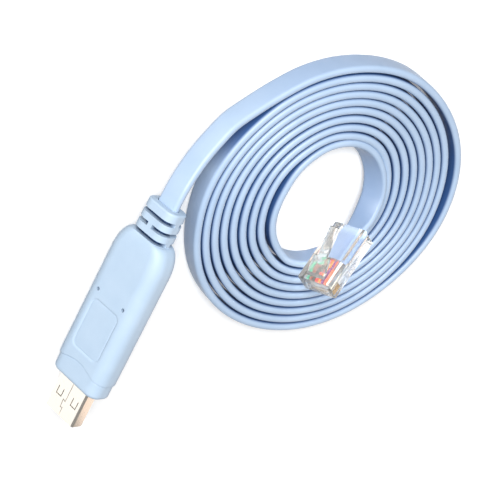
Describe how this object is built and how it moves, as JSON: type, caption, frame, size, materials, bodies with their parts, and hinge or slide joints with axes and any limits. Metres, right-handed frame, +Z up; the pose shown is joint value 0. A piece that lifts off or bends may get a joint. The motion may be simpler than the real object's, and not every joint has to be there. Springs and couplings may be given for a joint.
{
  "type": "usb to rj45 console cable",
  "caption": "Flat console cable wound as a spiral on its edge, with a USB-A plug in a moulded adapter housing at one end and a clear modular plug at the other.",
  "frame": {"origin": "on the floor under the middle of the adapter housing and its USB plug, without the cable and the modular plug", "axes": "+X along the housing towards the USB plug's tip, +Y towards the coil's centre, +Z up from the floor"},
  "size_m": [0.1273, 0.1088, 0.0227],
  "materials": {
    "shell_steel": "bright nickel",
    "insulator_white": "satin",
    "gold": "gold plated",
    "housing_blue": "satin",
    "cable_blue": "satin",
    "clear": "polished",
    "wire_green": "satin",
    "wire_brown": "satin",
    "wire_black": "satin",
    "wire_red": "satin",
    "wire_orange": "satin",
    "wire_purple": "satin",
    "wire_salmon": "satin",
    "wire_white": "satin"
  },
  "bodies": {
    "root": {"usb_shell": "shell_steel", "usb_insulator": "insulator_white", "usb_contact_1": "gold", "usb_contact_2": "gold", "usb_contact_3": "gold", "usb_contact_4": "gold", "adapter_housing": "housing_blue", "cable_lead": "cable_blue", "cable_coil": "cable_blue", "cable_tail": "cable_blue", "rj45_body": "clear", "rj45_wire_1": "wire_green", "rj45_wire_2": "wire_brown", "rj45_wire_3": "wire_black", "rj45_wire_4": "wire_red", "rj45_wire_5": "wire_orange", "rj45_wire_6": "wire_purple", "rj45_wire_7": "wire_salmon", "rj45_wire_8": "wire_white", "rj45_contact_1": "gold", "rj45_contact_2": "gold", "rj45_contact_3": "gold", "rj45_contact_4": "gold", "rj45_contact_5": "gold", "rj45_contact_6": "gold", "rj45_contact_7": "gold", "rj45_contact_8": "gold"}
  },
  "joints": []
}
